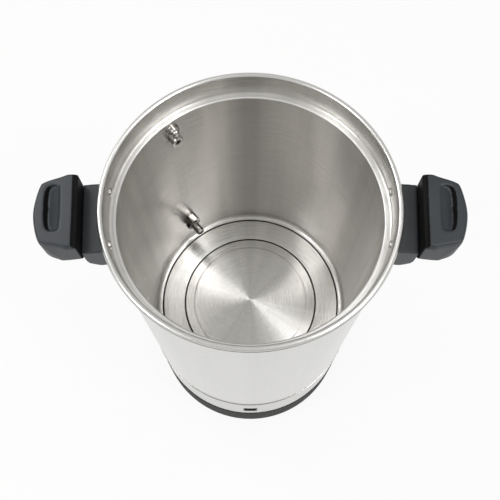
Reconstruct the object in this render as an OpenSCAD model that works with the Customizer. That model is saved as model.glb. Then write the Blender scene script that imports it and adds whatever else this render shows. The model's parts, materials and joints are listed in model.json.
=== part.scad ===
// Double-walled stainless hot water urn with a lever tap, a sight gauge and two side handles.
// The urn's axis is Z, the table is z = 0, the mains inlet looks along -Y.

/* [Vessel] */
// Inner radius of the tank
tank_r = 136; // [120:1:160]
// Sheet thickness of the tank and its floor
tank_t = 1; // [0.8:0.1:1.4]
// Gap between the tank wall and the outer shell
wall_gap = 7; // [6.5:0.5:10]
// Height of the rim plane above the table
rim_z = 521; // [491:1:581]
// Depth of the lid ledge under the rim plane
ledge_depth = 27; // [24:1:30]
// Radius of the rolled rim bead
bead_r = 3; // [2.6:0.1:4]
// Radius of the rounded lip between ledge and wall
lip_r = 1.8; // [1.5:0.1:2.4]
// Height of the tank floor above the table
floor_z = 174; // [169:1:191]
// Cove radius at the foot of the tank wall
cove_r = 7; // [5:0.5:8]
// Flat land between the cove and the outer floor groove
groove_land = 0.3; // [0.2:0.1:6]
// Distance between the two floor grooves
groove_spacing = 32.1; // [28:0.1:36]
// Width of both floor grooves
groove_w = 2.6; // [2:0.1:3]
// Depth of both floor grooves
groove_d = 2.2; // [1.5:0.1:3]
// Distance of the raised disc's edge from the inner groove
disc_inset = 12.3; // [8:0.1:18]
// Height of the raised disc above the floor
disc_h = 1; // [0.5:0.1:2]

/* [Shell and base] */
// Sheet thickness of the outer shell and the skirt
shell_t = 1; // [0.8:0.1:1.4]
// Height of the shell's lower edge
shell_foot_z = 136; // [131:1:141]
// Height of the skirt's upper edge
skirt_top_z = 151; // [145:1:159]
// Height of the base ring's shoulder
ring_top_z = 70; // [60:0.5:74]
// How far the base ring's foot stands out past the skirt
ring_flare = 1.4; // [1:0.1:3]
// Height of the feet below the base ring
foot_h = 2; // [1.5:0.5:3]
// Radius of a rubber foot
foot_r = 7; // [6:0.5:7.5]
// Distance of the base plate's edge from the skirt
plate_inset = 15.1; // [14:0.1:20]
// Thickness of the base plate
plate_t = 2; // [1.5:0.5:2.5]
// Underside of the base plate above the table
plate_z = 7; // [6:0.5:8]

/* [Heater] */
// Distance of the heating plate's edge from the inner groove's wall
heater_margin = 5; // [3:0.5:7]
// Thickness of the heating plate
heater_t = 6; // [5:0.5:7]
// Radius of the heating element's ring
element_ring_r = 62; // [58:1:66]
// Radius of the heating element's tube
element_r = 4; // [3.5:0.1:4.5]
// Radius of the circle of the tie studs
stud_pcr = 40; // [30:1:45]
// Radius of a tie stud
stud_r = 2.5; // [2:0.1:3]

/* [Front fittings] */
// Azimuth of the tap and gauge
front_az = 130; // [90:1:150]
// Height of the tap shank above the tank floor
shank_rise = 55; // [45:1:65]
// Distance between the two fittings of a pair
pair_gap = 16.3; // [16.2:0.1:18]
// Depth of the upper stud below the rim plane
stud_depth = 38; // [38:1:60]
// Radius of the tap shank
shank_r = 6; // [5.5:0.1:6.4]
// Radius of the other wall bolts
bolt_r = 4; // [3.5:0.1:4.5]
// Depth of the gauge blocks off the shell
block_depth = 22; // [21:1:30]
// Half width of the gauge blocks
block_half_w = 15; // [14.5:0.5:18]
// Outer radius of the sight tube
tube_r = 6; // [5.5:0.1:6.2]
// Wall of the sight tube
tube_t = 1.5; // [1:0.1:2]
// Radius of a guard rod
rod_r = 2; // [1.5:0.1:2]

/* [Tap] */
// Distance of the valve axis from the gauge block's face
valve_reach = 26; // [25:1:32]
// Outer radius of the valve chamber
chamber_r = 14; // [13:0.5:16]
// Bore of the valve chamber
chamber_bore_r = 10; // [9.5:0.1:10.5]
// Radius of the spout
spout_r = 8.5; // [7.5:0.1:9]
// Bore of the spout
spout_bore_r = 5.5; // [4.5:0.1:5.8]
// Length of the spout below the chamber
spout_len = 26; // [18:1:30]
// Radius of the valve stem
stem_r = 2.5; // [2.2:0.1:2.8]
// Radius of the lever's cam
cam_r = 9; // [8.5:0.1:10]
// Offset of the cam's centre from the lever pin
cam_offset = 5; // [4:0.1:5.2]
// Radius of the lever pin
lever_pin_r = 2; // [1.6:0.1:2.2]
// Length of the lever above its pin
lever_len = 62; // [50:1:80]

/* [Controls] */
// Height of the control knob's axis
knob_z = 106; // [103:1:108]
// Radius of the control knob
knob_r = 20; // [18:0.5:22]
// Depth of the control knob
knob_depth = 17; // [15:0.5:20]
// Radius of the control bezel
bezel_r = 24; // [23:0.5:26]
// Radius of the thermostat spindle
spindle_r = 3; // [2.5:0.1:3.2]
// Angle between the knob and each lamp
lamp_az = 14; // [13:0.5:20]
// Radius of a lamp lens
lamp_r = 4; // [3:0.1:5]
// Radius of the reset button
reset_r = 3; // [2.5:0.1:3.5]

/* [Inlet] */
// Width of the mains inlet
inlet_w = 20; // [18:0.5:24]
// Height of the mains inlet
inlet_h = 28; // [26:0.5:30]
// Height of the inlet's centre
inlet_z = 106; // [99:0.5:113]
// Wall of the inlet
inlet_t = 2; // [1.5:0.1:2.5]

/* [Handles] */
// Angle of each handle behind the cross axis
handle_az = 4.9; // [0:0.1:10]
// Radial depth of a handle mount
mount_depth = 19; // [18:1:30]
// Half width of a handle mount
mount_half_w = 37.5; // [35:0.5:44]
// Height of a handle mount
mount_h = 42; // [38:1:46]
// Top of the mount below the rim plane
mount_drop = 16; // [14:0.5:17]
// Radial depth of a grip
grip_depth = 45.5; // [44:0.5:54]
// Half length of a grip
grip_half_l = 39.5; // [36:0.5:48]
// How far a grip's top stands above its mount
grip_rise = 24; // [20:0.5:26]
// Height of a grip
grip_h = 40; // [36:1:44]
// Wall of a grip
grip_t = 4; // [3:0.5:5]
// Angle between a handle's centre and each rivet
rivet_az = 11.5; // [10:0.5:12]
// Radius of a rivet's shank
rivet_r = 2.4; // [2:0.1:2.8]
// Radius of a rivet's head
rivet_head_r = 4.6; // [4:0.1:5.5]

/* [Hidden] */
$fn = 64;

// Fits
slip = 0.05;
seat = 0.1;
moving_gap = 0.3;

// Vessel and shell
shell_in_r = tank_r + tank_t + wall_gap;
shell_r = shell_in_r + shell_t;
ledge_z = rim_z - ledge_depth;
ledge_edge_r = shell_in_r - seat;
ledge_line_r = (tank_r + lip_r + ledge_edge_r) / 2 - 1;
ledge_line_w = 0.8;
ledge_line_d = 0.5;
wall_foot_z = floor_z + cove_r + slip;
outer_groove_r = tank_r - cove_r - groove_land - groove_w / 2;
inner_groove_r = outer_groove_r - groove_spacing;
disc_r = inner_groove_r - disc_inset;
groove_out = [outer_groove_r - groove_w / 2, outer_groove_r + groove_w / 2];
groove_in = [inner_groove_r - groove_w / 2, inner_groove_r + groove_w / 2];
floor_under_z = floor_z - tank_t;

// Base
skirt_in_r = shell_r + seat;
skirt_r = skirt_in_r + shell_t;
ring_step = 0.3;
ring_r = skirt_r + ring_flare;
ring_edge = 1.2;
upstand_t = 3;
upstand_h = 3;
upstand_r = skirt_in_r - seat;
flange_t = 3;
plate_r = skirt_in_r - plate_inset;
flange_in_r = plate_r - 10;
plate_top_z = plate_z + plate_t;
foot_pcr = (plate_r + ring_r) / 2;
foot_seat = 3;
foot_chamfer = 1;
screw_r = 2;
screw_head_r = 3.8;
screw_head_h = 2.2;
base_screw_count = 4;
base_screw_pcr = plate_r - 5;
foot_count = 4;
foot_start_az = 45;
stud_count = 3;
nut_h = 4;
nut_af = 8;
vent_count = 24;
vent_w = 3;
vent_len = 22;
vent_margin = 1;
vent_pcr = flange_in_r - vent_margin - vent_len / 2;

// Heater and its sensors
heater_r = groove_in[0] - tank_t - heater_margin;
heater_z = floor_under_z - heater_t;
element_sweep = 320;
sleeve_r = 5;
sleeve_len = 18;
sleeve_drop = 0.5;
terminal_w = 6;
terminal_t = 0.8;
terminal_len = 12;
bulb_r = 3;
capillary_r = 0.8;
thermostat_bulb_len = 40;
thermostat_bulb_r = (groove_in[1] + groove_out[0]) / 2;
thermostat_half = 16;
thermostat_x = [thermostat_bulb_r - 6, skirt_in_r - 8];
neck_r = spindle_r + 2;
bezel_face_x = skirt_r + 3.7;
spindle_tip_x = bezel_face_x + knob_depth - 4;
spindle_root_x = thermostat_x[1] - 8;
cutout_az = -10;
cutout_pcr = (element_ring_r + element_r + heater_r) / 2;
cutout_r = 13;
cutout_h = 22;
cutout_neck_r = 6;
cutout_bulb_len = 30;
reset_stroke_room = 4;
lamp_root = 7;
lamp_lip = 1.5;
lamp_lip_t = 1;
lens_inset = 0.5;
lens_sink = 2.5;
reset_z = [plate_z - 2.5, plate_top_z + 12];

// Inlet
inlet_az = -90;
inlet_depth = 24;
inlet_back = 7;
inlet_corner = 2;
inlet_flange = 4;
inlet_flange_t = 2.5;
pin_size = [4, 2];
pin_gap = 7;
pin_tail = 4;
pin_recess = 6;

// Front fittings
shank_z = floor_z + shank_rise;
port_z = shank_z + pair_gap;
upper_z = rim_z - stud_depth;
screw_z = upper_z - pair_gap;
washer_t = 2.5;
shank_washer_r = 8.6;
bolt_washer_r = 7.4;
washer_face_x = sqrt(tank_r * tank_r - shank_washer_r * shank_washer_r) - slip;
head_x = washer_face_x - washer_t;
spacer_r = 7.6;
spacer_x = [tank_r + tank_t + seat, sqrt(shell_in_r * shell_in_r - spacer_r * spacer_r) - slip];
block_face_x = shell_r + block_depth;
block_corner = 6;
tube_wall = 1.9;
tube_socket_r = tube_r + 1.6;
tube_x = block_face_x - tube_wall - tube_socket_r;
bolt_tip_x = tube_x - 3;
foot_block_drop = 15;
foot_block_rise = 23;
foot_block_z = [shank_z - foot_block_drop, port_z + foot_block_rise];
top_block_drop = 13;
top_block_rise = 9;
top_block_z = [screw_z - top_block_drop, upper_z + top_block_rise];
socket_floor_z = port_z + bolt_r + 5;
tube_top_z = screw_z - bolt_r - slip - 1;
rod_y = tube_socket_r + rod_r + 2;
rod_x = tube_x + 3;
rod_bite = 7;
shank_nut_af = 18;
shank_nut_h = 7;
shank_reach = 16;
shank_end_x = washer_face_x - washer_t - shank_nut_h - shank_reach;
shank_bite = 12;
port_hex_af = 14;
port_hex_h = 10.7;
dome_r = 6.4;
dome_h = 8;
socket_head_r = 7;
socket_head_h = 8;
socket_af = 6;
socket_d = 4;

// Tap
valve_x = block_face_x + valve_reach;
chamber_drop = 15;
chamber_rise = 16;
chamber_z = [shank_z - chamber_drop, shank_z + chamber_rise];
inlet_boss_r = 11;
inlet_boss_gap = 0.5;
seat_z = shank_z - shank_r + 1;
plug_h = 5;
plug_r = chamber_bore_r - 2;
plug_z = seat_z + 0.2;
stem_flange_r = 5;
stem_flange_h = 2;
stem_stub = 3;
flange_z = plug_z + plug_h;
bonnet_skirt = chamber_z[1] - shank_z - inlet_boss_r - inlet_boss_gap;
bonnet_t = 2.4;
bonnet_top_t = 7;
bonnet_z = chamber_z[1] + seat;
bonnet_top_z = bonnet_z + bonnet_top_t;
bonnet_r = chamber_r + seat + bonnet_t;
lever_pin_z = bonnet_top_z + moving_gap + cam_r;
stem_head = [8, 5];
stem_head_z = [lever_pin_z - 5, lever_pin_z + 6.7];
fork_gap = stem_head[1] + 2 * moving_gap;
fork_half_w = 6.8;
fork_clear_r = 8.6;
paddle_half_w = 10;
paddle_t = 9;
fork_len = 14;
heel_len = 16;
flare_len = 30;
spring_r = 4.5;
spring_wire_r = 0.6;
spring_turns = 5;
spring_steps = 16;
spring_z = [flange_z + stem_flange_h + spring_wire_r + seat, bonnet_z - spring_wire_r - seat];

// Handles
mount_face_x = shell_r + mount_depth;
mount_z = [rim_z - mount_drop - mount_h, rim_z - mount_drop];
mount_chamfer = 6;
mount_nose_r = 24;
seam = 0.6;
grip_x = [mount_face_x + seam, mount_face_x + seam + grip_depth];
grip_z = [mount_z[1] + grip_rise - grip_h, mount_z[1] + grip_rise];
grip_bevel = 6.5;
grip_bevel_h = 5;
grip_edge = 3.5;
tongue = [17, 36, 9];
tongue_z = grip_z[0] + 4;
rivet_lift = 2.4;
rivet_z = ledge_z + rivet_head_r + rivet_lift;
rivet_bite = 10;
rivet_head_h = 2.2;
grip_screw_y = 10;
grip_shoulder = 12.5;
grip_low_shoulder = 22;
grip_bulge_r = 48;
grip_bulge_az = 36;
grip_low_h = 8;
grip_top_edge = 2;
finger_rise = 0.62;
thumb_size = [14.3, 46];
thumb_setback = 18.4;
thumb_x = grip_x[0] + thumb_setback;
thumb_shift = 3;
thumb_tilt = 22;
thumb_edge = 0.8;
thumb_steps = 24;

// Points of an arc about a centre, from one angle to another
function arc(centre, r, from, to, steps = 12) =
  [for (i = [0 : steps])
    let (a = from + (to - from) * i / steps)
    [centre[0] + r * cos(a), centre[1] + r * sin(a)]];

// Outline of a rectangle with round corners
function rounded(size, r) =
  let (x = size[0] / 2 - r, y = size[1] / 2 - r)
  concat(
    arc([x, y], r, 0, 90, 6), arc([-x, y], r, 90, 180, 6),
    arc([-x, -y], r, 180, 270, 6), arc([x, -y], r, 270, 360, 6)
  );

module at_front() { rotate([0, 0, front_az]) children(); }

module at_inlet() { rotate([0, 0, inlet_az]) children(); }

module at_right() { rotate([0, 0, -handle_az]) children(); }

module at_left() { mirror([1, 0, 0]) at_right() children(); }

// A round bar along the local X axis
module bar_x(r, from, to, z) {
  translate([from, 0, z]) rotate([0, 90, 0]) cylinder(h = to - from, r = r);
}

// A hexagonal bar along the local X axis, with flats above and below
module hex_x(af, from, to, z) {
  translate([from, 0, z]) rotate([0, 90, 0]) rotate([0, 0, 30])
    cylinder(h = to - from, r = af / 2 / cos(30), $fn = 6);
}

// An upright ring between two radii and two heights
module ring_z(in_r, out_r, z) {
  rotate_extrude($fn = 180) translate([in_r, z[0]]) square([out_r - in_r, z[1] - z[0]]);
}

module front_bores(r_shank, r_bolt, from, to) {
  at_front() {
    bar_x(r_shank, from, to, shank_z);
    for (z = [port_z, screw_z, upper_z]) bar_x(r_bolt, from, to, z);
  }
}

module rivet_bores(r, from, to) {
  for (a = [-rivet_az, rivet_az]) rotate([0, 0, a]) bar_x(r, from, to, rivet_z);
}

module both_rivet_bores(r, from, to) {
  at_right() rivet_bores(r, from, to);
  at_left() rivet_bores(r, from, to);
}

// Vessel
function tank_profile() =
  let (
    line_in = ledge_line_r - ledge_line_w / 2,
    line_out = ledge_line_r + ledge_line_w / 2
  )
  concat(
    [[tank_r, wall_foot_z]],
    arc([tank_r + lip_r, ledge_z - lip_r], lip_r, 180, 90, 6),
    [[line_in, ledge_z], [line_in, ledge_z - ledge_line_d]],
    [[line_out, ledge_z - ledge_line_d], [line_out, ledge_z]],
    [[ledge_edge_r, ledge_z], [ledge_edge_r, ledge_z - tank_t]],
    arc([tank_r + lip_r, ledge_z - lip_r], lip_r - tank_t, 90, 180, 6),
    [[tank_r + tank_t, wall_foot_z]]
  );

module tank() {
  color("silver") difference() {
    rotate_extrude($fn = 180) polygon(tank_profile());
    front_bores(shank_r + seat, bolt_r + seat, tank_r - 5, tank_r + tank_t + 3);
  }
}

// Floor pan: raised disc, two pressed grooves and a cove up to the wall
function floor_profile() =
  let (
    bottom_z = floor_z - groove_d,
    under_z = floor_z - groove_d - tank_t,
    cove = [tank_r - cove_r, floor_z + cove_r]
  )
  concat(
    [[0, floor_under_z], [0, floor_z + disc_h], [disc_r - disc_h, floor_z + disc_h], [disc_r, floor_z]],
    [[groove_in[0], floor_z], [groove_in[0], bottom_z], [groove_in[1], bottom_z], [groove_in[1], floor_z]],
    [[groove_out[0], floor_z], [groove_out[0], bottom_z], [groove_out[1], bottom_z], [groove_out[1], floor_z]],
    arc(cove, cove_r, -90, 0, 8),
    arc(cove, cove_r + tank_t, 0, -90, 8),
    [[groove_out[1] + tank_t, floor_under_z], [groove_out[1] + tank_t, under_z]],
    [[groove_out[0] - tank_t, under_z], [groove_out[0] - tank_t, floor_under_z]],
    [[groove_in[1] + tank_t, floor_under_z], [groove_in[1] + tank_t, under_z]],
    [[groove_in[0] - tank_t, under_z], [groove_in[0] - tank_t, floor_under_z]]
  );

module tank_floor() {
  color("gainsboro") rotate_extrude($fn = 180) polygon(floor_profile());
}

// Outer shell, with the collar above the ledge and the rolled rim bead
function shell_profile() =
  let (
    bead = [shell_in_r + bead_r, rim_z],
    bead_end = -acos((shell_t - bead_r) / bead_r)
  )
  concat(
    [[shell_in_r, shell_foot_z]],
    arc(bead, bead_r, 180, bead_end, 24),
    [[shell_r, shell_foot_z]]
  );

module outer_shell() {
  color("silver") difference() {
    rotate_extrude($fn = 180) polygon(shell_profile());
    front_bores(shank_r + seat, bolt_r + seat, shell_in_r - 3, shell_r + 3);
    both_rivet_bores(rivet_r + seat, shell_in_r - 5, shell_r + 2);
  }
}

module base_skirt() {
  color("silver") difference() {
    ring_z(skirt_in_r, skirt_r, [ring_top_z, skirt_top_z]);
    at_front() bar_x(neck_r + seat, skirt_in_r - 5, skirt_r + 5, knob_z);
    for (a = [-lamp_az, lamp_az])
      rotate([0, 0, front_az + a]) bar_x(lamp_r + seat, skirt_in_r - 5, skirt_r + 5, knob_z);
    at_inlet() translate([skirt_in_r - 8, 0, inlet_z]) rotate([90, 0, 90])
      linear_extrude(16) polygon(rounded([inlet_w + 2 * seat, inlet_h + 2 * seat], inlet_corner));
  }
}

// Base
module on_circle(count, r, start = foot_start_az) {
  for (i = [0 : count - 1]) rotate([0, 0, start + i * 360 / count]) translate([r, 0, 0]) children();
}

module base_ring() {
  flange_z = [plate_top_z, plate_top_z + flange_t];
  color("dimgray") difference() {
    rotate_extrude($fn = 180) polygon(concat(
      [[plate_r + seat, foot_h], [ring_r - ring_edge, foot_h]],
      arc([ring_r - ring_edge, foot_h + ring_edge], ring_edge, -90, 0, 4),
      [[ring_r - ring_flare * 0.35, ring_top_z - 4], [skirt_r + ring_step, ring_top_z]],
      [[upstand_r, ring_top_z], [upstand_r, ring_top_z + upstand_h]],
      [[upstand_r - upstand_t, ring_top_z + upstand_h], [upstand_r - upstand_t, flange_z[1]]],
      [[flange_in_r, flange_z[1]], [flange_in_r, flange_z[0]], [plate_r + seat, flange_z[0]]]
    ));
    on_circle(foot_count, foot_pcr)
      translate([0, 0, foot_h - 1]) cylinder(h = foot_seat + 1, r = foot_r + seat);
    on_circle(base_screw_count, base_screw_pcr, 0)
      translate([0, 0, flange_z[0] - 1]) cylinder(h = flange_t + 2, r = screw_r + slip);
  }
}

module base_plate() {
  color("darkgray") difference() {
    translate([0, 0, plate_z]) cylinder(h = plate_t, r = plate_r, $fn = 180);
    on_circle(base_screw_count, base_screw_pcr, 0)
      translate([0, 0, plate_z - 1]) cylinder(h = plate_t + 2, r = screw_r + seat);
    on_circle(stud_count, stud_pcr, 90)
      translate([0, 0, plate_z - 1]) cylinder(h = plate_t + 2, r = stud_r + seat);
    rotate([0, 0, cutout_az]) translate([cutout_pcr, 0, plate_z - 1])
      cylinder(h = plate_t + 2, r = cutout_neck_r + seat);
    on_circle(vent_count, vent_pcr, 7.5)
      translate([-vent_len / 2, -vent_w / 2, plate_z - 1]) cube([vent_len, vent_w, plate_t + 2]);
  }
}

module rubber_feet() {
  color("black") on_circle(foot_count, foot_pcr) rotate_extrude() polygon([
    [0, 0], [foot_r - foot_chamfer, 0], [foot_r, foot_chamfer],
    [foot_r, foot_h + foot_seat], [0, foot_h + foot_seat]
  ]);
}

module base_screws() {
  color("silver") on_circle(base_screw_count, base_screw_pcr, 0) {
    translate([0, 0, plate_z - screw_head_h]) cylinder(h = screw_head_h, r = screw_head_r);
    translate([0, 0, plate_z - 0.5]) cylinder(h = plate_t + flange_t + 3, r = screw_r);
  }
}

// Heater
module element_path(r) {
  translate([0, 0, heater_z]) rotate_extrude(angle = element_sweep, $fn = 120)
    translate([element_ring_r, 0]) circle(r);
}

module heating_plate() {
  color("lightgray") difference() {
    translate([0, 0, heater_z]) cylinder(h = heater_t, r = heater_r, $fn = 180);
    translate([0, 0, heater_z]) rotate_extrude($fn = 120)
      translate([element_ring_r, 0]) circle(element_r + seat);
  }
}

module at_element_ends() {
  for (a = [3, element_sweep - 3]) rotate([0, 0, a]) translate([element_ring_r, 0, 0]) children();
}

module heating_element() {
  top_z = heater_z - sleeve_drop;
  color("slategray") difference() {
    union() {
      element_path(element_r);
      at_element_ends() translate([0, 0, top_z - sleeve_len]) cylinder(h = sleeve_len, r = sleeve_r);
    }
    at_element_ends() translate([-terminal_w / 2 - seat, -terminal_t / 2 - seat, top_z - sleeve_len - 1])
      cube([terminal_w + 2 * seat, terminal_t + 2 * seat, terminal_len / 2 + 1]);
  }
}

module element_terminals() {
  bottom_z = heater_z - sleeve_drop - sleeve_len - terminal_len / 2;
  color("gold") at_element_ends() translate([-terminal_w / 2, -terminal_t / 2, bottom_z])
    cube([terminal_w, terminal_t, terminal_len]);
}

module tie_studs() {
  bottom_z = plate_z - nut_h - 1;
  color("silver") on_circle(stud_count, stud_pcr, 90)
    translate([0, 0, bottom_z]) cylinder(h = heater_z - bottom_z, r = stud_r);
}

module tie_nuts() {
  color("silver") on_circle(stud_count, stud_pcr, 90) translate([0, 0, plate_z - nut_h]) difference() {
    cylinder(h = nut_h, r = nut_af / 2 / cos(30), $fn = 6);
    translate([0, 0, -1]) cylinder(h = nut_h + 2, r = stud_r + slip);
  }
}

// Controls
module thermostat() {
  half = thermostat_half;
  color("ivory") at_front() difference() {
    union() {
      translate([thermostat_x[0], -half, knob_z - half])
        cube([thermostat_x[1] - thermostat_x[0], 2 * half, 2 * half]);
      bar_x(neck_r, thermostat_x[1] - 1, bezel_face_x - 1, knob_z);
    }
    bar_x(spindle_r + slip, spindle_root_x - 1, bezel_face_x + 1, knob_z);
  }
}

module thermostat_bulb() {
  bulb_z = floor_under_z - bulb_r - slip;
  body_top_z = knob_z + thermostat_half;
  color("peru") at_front() translate([thermostat_bulb_r, 0, 0]) {
    translate([0, -thermostat_bulb_len / 2, bulb_z]) rotate([-90, 0, 0])
      cylinder(h = thermostat_bulb_len, r = bulb_r);
    translate([0, 0, body_top_z]) cylinder(h = bulb_z - body_top_z, r = capillary_r);
  }
}

module thermostat_spindle() {
  color("silver") at_front() bar_x(spindle_r, spindle_root_x, spindle_tip_x, knob_z);
}

module control_bezel() {
  color("black") at_front() difference() {
    bar_x(bezel_r, skirt_r - 5, bezel_face_x, knob_z);
    cylinder(h = rim_z, r = skirt_r + seat, $fn = 180);
    bar_x(neck_r + seat, skirt_r - 6, bezel_face_x + 1, knob_z);
  }
}

module control_knob() {
  face_x = bezel_face_x + moving_gap;
  base_t = 5;
  bar_w = 9;
  color("dimgray") at_front() difference() {
    union() {
      bar_x(knob_r, face_x, face_x + base_t, knob_z);
      intersection() {
        bar_x(knob_r - 1, face_x, face_x + knob_depth, knob_z);
        translate([face_x + base_t - 1, 0, knob_z]) rotate([90, 0, 90])
          linear_extrude(knob_depth - base_t + 1) polygon(rounded([bar_w, 2 * knob_r + 2], 2));
      }
    }
    bar_x(spindle_r + slip / 2, face_x - 1, spindle_tip_x + 0.2, knob_z);
  }
}

module lamp(az, shade) {
  flange_x = skirt_r + seat;
  root_x = skirt_in_r - lamp_root;
  lens_r = lamp_r - lens_inset;
  color(shade) rotate([0, 0, front_az + az]) translate([0, 0, knob_z]) rotate([0, 90, 0])
    rotate_extrude() polygon(concat(
      [[0, root_x], [lamp_r, root_x], [lamp_r, flange_x], [lamp_r + lamp_lip, flange_x]],
      [[lamp_r + lamp_lip, flange_x + lamp_lip_t], [lens_r, flange_x + lamp_lip_t]],
      arc([0, flange_x + lamp_lip_t - lens_sink], norm([lens_r, lens_sink]), atan2(lens_sink, lens_r), 90, 6)
    ));
}

module power_lamp() { lamp(lamp_az, "orangered"); }

module ready_lamp() { lamp(-lamp_az, "limegreen"); }

module at_cutout() { rotate([0, 0, cutout_az]) translate([cutout_pcr, 0, 0]) children(); }

module cutout() {
  color("ivory") at_cutout() difference() {
    union() {
      translate([0, 0, plate_top_z]) cylinder(h = cutout_h, r = cutout_r);
      translate([0, 0, plate_z - 1]) cylinder(h = plate_t + 2, r = cutout_neck_r);
    }
    translate([0, 0, plate_z - 2])
      cylinder(h = reset_z[1] + reset_stroke_room - plate_z + 2, r = reset_r + slip);
  }
}

module cutout_bulb() {
  bulb_z = heater_z - bulb_r - slip;
  body_top_z = plate_top_z + cutout_h;
  color("peru") at_cutout() {
    translate([0, -cutout_bulb_len / 2, bulb_z]) rotate([-90, 0, 0])
      cylinder(h = cutout_bulb_len, r = bulb_r);
    translate([0, 0, body_top_z]) cylinder(h = bulb_z - body_top_z, r = capillary_r);
  }
}

module reset_button() {
  color("red") at_cutout() translate([0, 0, reset_z[0]]) cylinder(h = reset_z[1] - reset_z[0], r = reset_r);
}

// Mains inlet
module inlet_pin_row(grow) {
  for (i = [-1, 0, 1])
    translate([i == 0 ? pin_size[1] : -pin_size[1], i * pin_gap])
      square([pin_size[1] + 2 * grow, pin_size[0] + 2 * grow], center = true);
}

module along_inlet(from, to) {
  translate([from, 0, inlet_z]) rotate([90, 0, 90]) linear_extrude(to - from) children();
}

module inlet_socket() {
  mouth_x = skirt_r - slip;
  back_x = mouth_x - inlet_depth;
  outer = [inlet_w, inlet_h];
  bore = [inlet_w - 2 * inlet_t, inlet_h - 2 * inlet_t];
  color("black") at_inlet() difference() {
    union() {
      along_inlet(back_x, mouth_x) polygon(rounded(outer, inlet_corner));
      intersection() {
        along_inlet(skirt_in_r - inlet_flange_t - 1, skirt_r)
          polygon(rounded([inlet_w + 2 * inlet_flange, inlet_h + 2 * inlet_flange], inlet_corner));
        cylinder(h = rim_z, r = skirt_in_r - seat, $fn = 180);
      }
    }
    along_inlet(back_x + inlet_back, mouth_x + 1) polygon(rounded(bore, inlet_corner - 0.5));
    along_inlet(back_x - 1, mouth_x) inlet_pin_row(slip);
  }
}

module inlet_pins() {
  mouth_x = skirt_r - slip;
  color("silver") at_inlet()
    along_inlet(mouth_x - inlet_depth - pin_tail, mouth_x - pin_recess) inlet_pin_row(0);
}

// Fittings through the two walls
module tap_shank() {
  color("silver") at_front() difference() {
    bar_x(shank_r, shank_end_x, block_face_x + shank_bite, shank_z);
    bar_x(shank_r - 2, shank_end_x - 1, block_face_x + shank_bite + 1, shank_z);
  }
}

module shank_locknut() {
  color("dimgray") at_front() difference() {
    hex_x(shank_nut_af, head_x - shank_nut_h, head_x, shank_z);
    bar_x(shank_r + slip, head_x - shank_nut_h - 1, head_x + 1, shank_z);
  }
}

module port_bolt() {
  color("silver") at_front() difference() {
    union() {
      hex_x(port_hex_af, head_x - port_hex_h, head_x, port_z);
      bar_x(bolt_r, head_x - 1, bolt_tip_x, port_z);
    }
    bar_x(bolt_r - 1.5, head_x - port_hex_h - 1, bolt_tip_x + 1, port_z);
    bar_x(bolt_r - 0.5, head_x - port_hex_h - 1, head_x - port_hex_h + 4, port_z);
  }
}

module dome_stud() {
  color("silver") at_front() union() {
    translate([head_x, 0, upper_z]) rotate([0, -90, 0]) rotate_extrude()
      polygon(concat([[0, 0], [dome_r, 0]], arc([0, dome_h - dome_r + 1], dome_r, 0, 90, 8)));
    bar_x(bolt_r, head_x - 1, bolt_tip_x, upper_z);
  }
}

module socket_screw() {
  face_x = head_x - socket_head_h;
  color("silver") at_front() difference() {
    union() {
      bar_x(socket_head_r, face_x, head_x, screw_z);
      bar_x(bolt_r, head_x - 1, bolt_tip_x, screw_z);
    }
    hex_x(socket_af, face_x - 1, face_x + socket_d, screw_z);
  }
}

module fitting_ring(r_out, r_in, from, to, z) {
  difference() {
    bar_x(r_out, from, to, z);
    bar_x(r_in, from - 1, to + 1, z);
  }
}

module wall_washers() {
  color("silver") at_front() {
    fitting_ring(shank_washer_r, shank_r + seat, head_x, washer_face_x, shank_z);
    for (z = [port_z, screw_z, upper_z])
      fitting_ring(bolt_washer_r, bolt_r + seat, head_x, washer_face_x, z);
  }
}

module wall_spacers() {
  color("white") at_front() {
    fitting_ring(spacer_r, shank_r + seat, spacer_x[0], spacer_x[1], shank_z);
    for (z = [port_z, screw_z, upper_z])
      fitting_ring(spacer_r, bolt_r + seat, spacer_x[0], spacer_x[1], z);
  }
}

// Sight gauge
module gauge_block(z) {
  back_x = shell_r - 4;
  difference() {
    translate([0, 0, z[0]]) linear_extrude(z[1] - z[0]) polygon(concat(
      [[back_x, block_half_w], [back_x, -block_half_w]],
      arc([block_face_x - block_corner, -block_half_w + block_corner], block_corner, -90, 0, 6),
      arc([block_face_x - block_corner, block_half_w - block_corner], block_corner, 0, 90, 6)
    ));
    cylinder(h = rim_z, r = shell_r + slip, $fn = 180);
  }
}

module rod_holes(from, to) {
  for (side = [-1, 1])
    translate([rod_x, side * rod_y, from]) cylinder(h = to - from, r = rod_r + slip);
}

module gauge_foot() {
  top_z = foot_block_z[1];
  color("silver") at_front() difference() {
    gauge_block(foot_block_z);
    bar_x(shank_r + seat, shell_r - 5, block_face_x + 1, shank_z);
    bar_x(bolt_r + slip, shell_r - 5, tube_x, port_z);
    translate([tube_x, 0, port_z]) cylinder(h = top_z - port_z, r = tube_r - tube_t);
    translate([tube_x, 0, socket_floor_z]) cylinder(h = top_z, r = tube_socket_r);
    rod_holes(top_z - rod_bite, top_z + 1);
  }
}

module gauge_top() {
  bottom_z = top_block_z[0];
  color("silver") at_front() difference() {
    gauge_block(top_block_z);
    for (z = [screw_z, upper_z]) bar_x(bolt_r + slip, shell_r - 5, bolt_tip_x + 1, z);
    translate([tube_x, 0, bottom_z - 1]) cylinder(h = tube_top_z - bottom_z + 1, r = tube_socket_r);
    rod_holes(bottom_z - 1, bottom_z + rod_bite);
  }
}

module sight_tube() {
  color("lightcyan") at_front() translate([tube_x, 0, 0])
    ring_z(tube_r - tube_t, tube_r, [socket_floor_z, tube_top_z - 0.2]);
}

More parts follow.
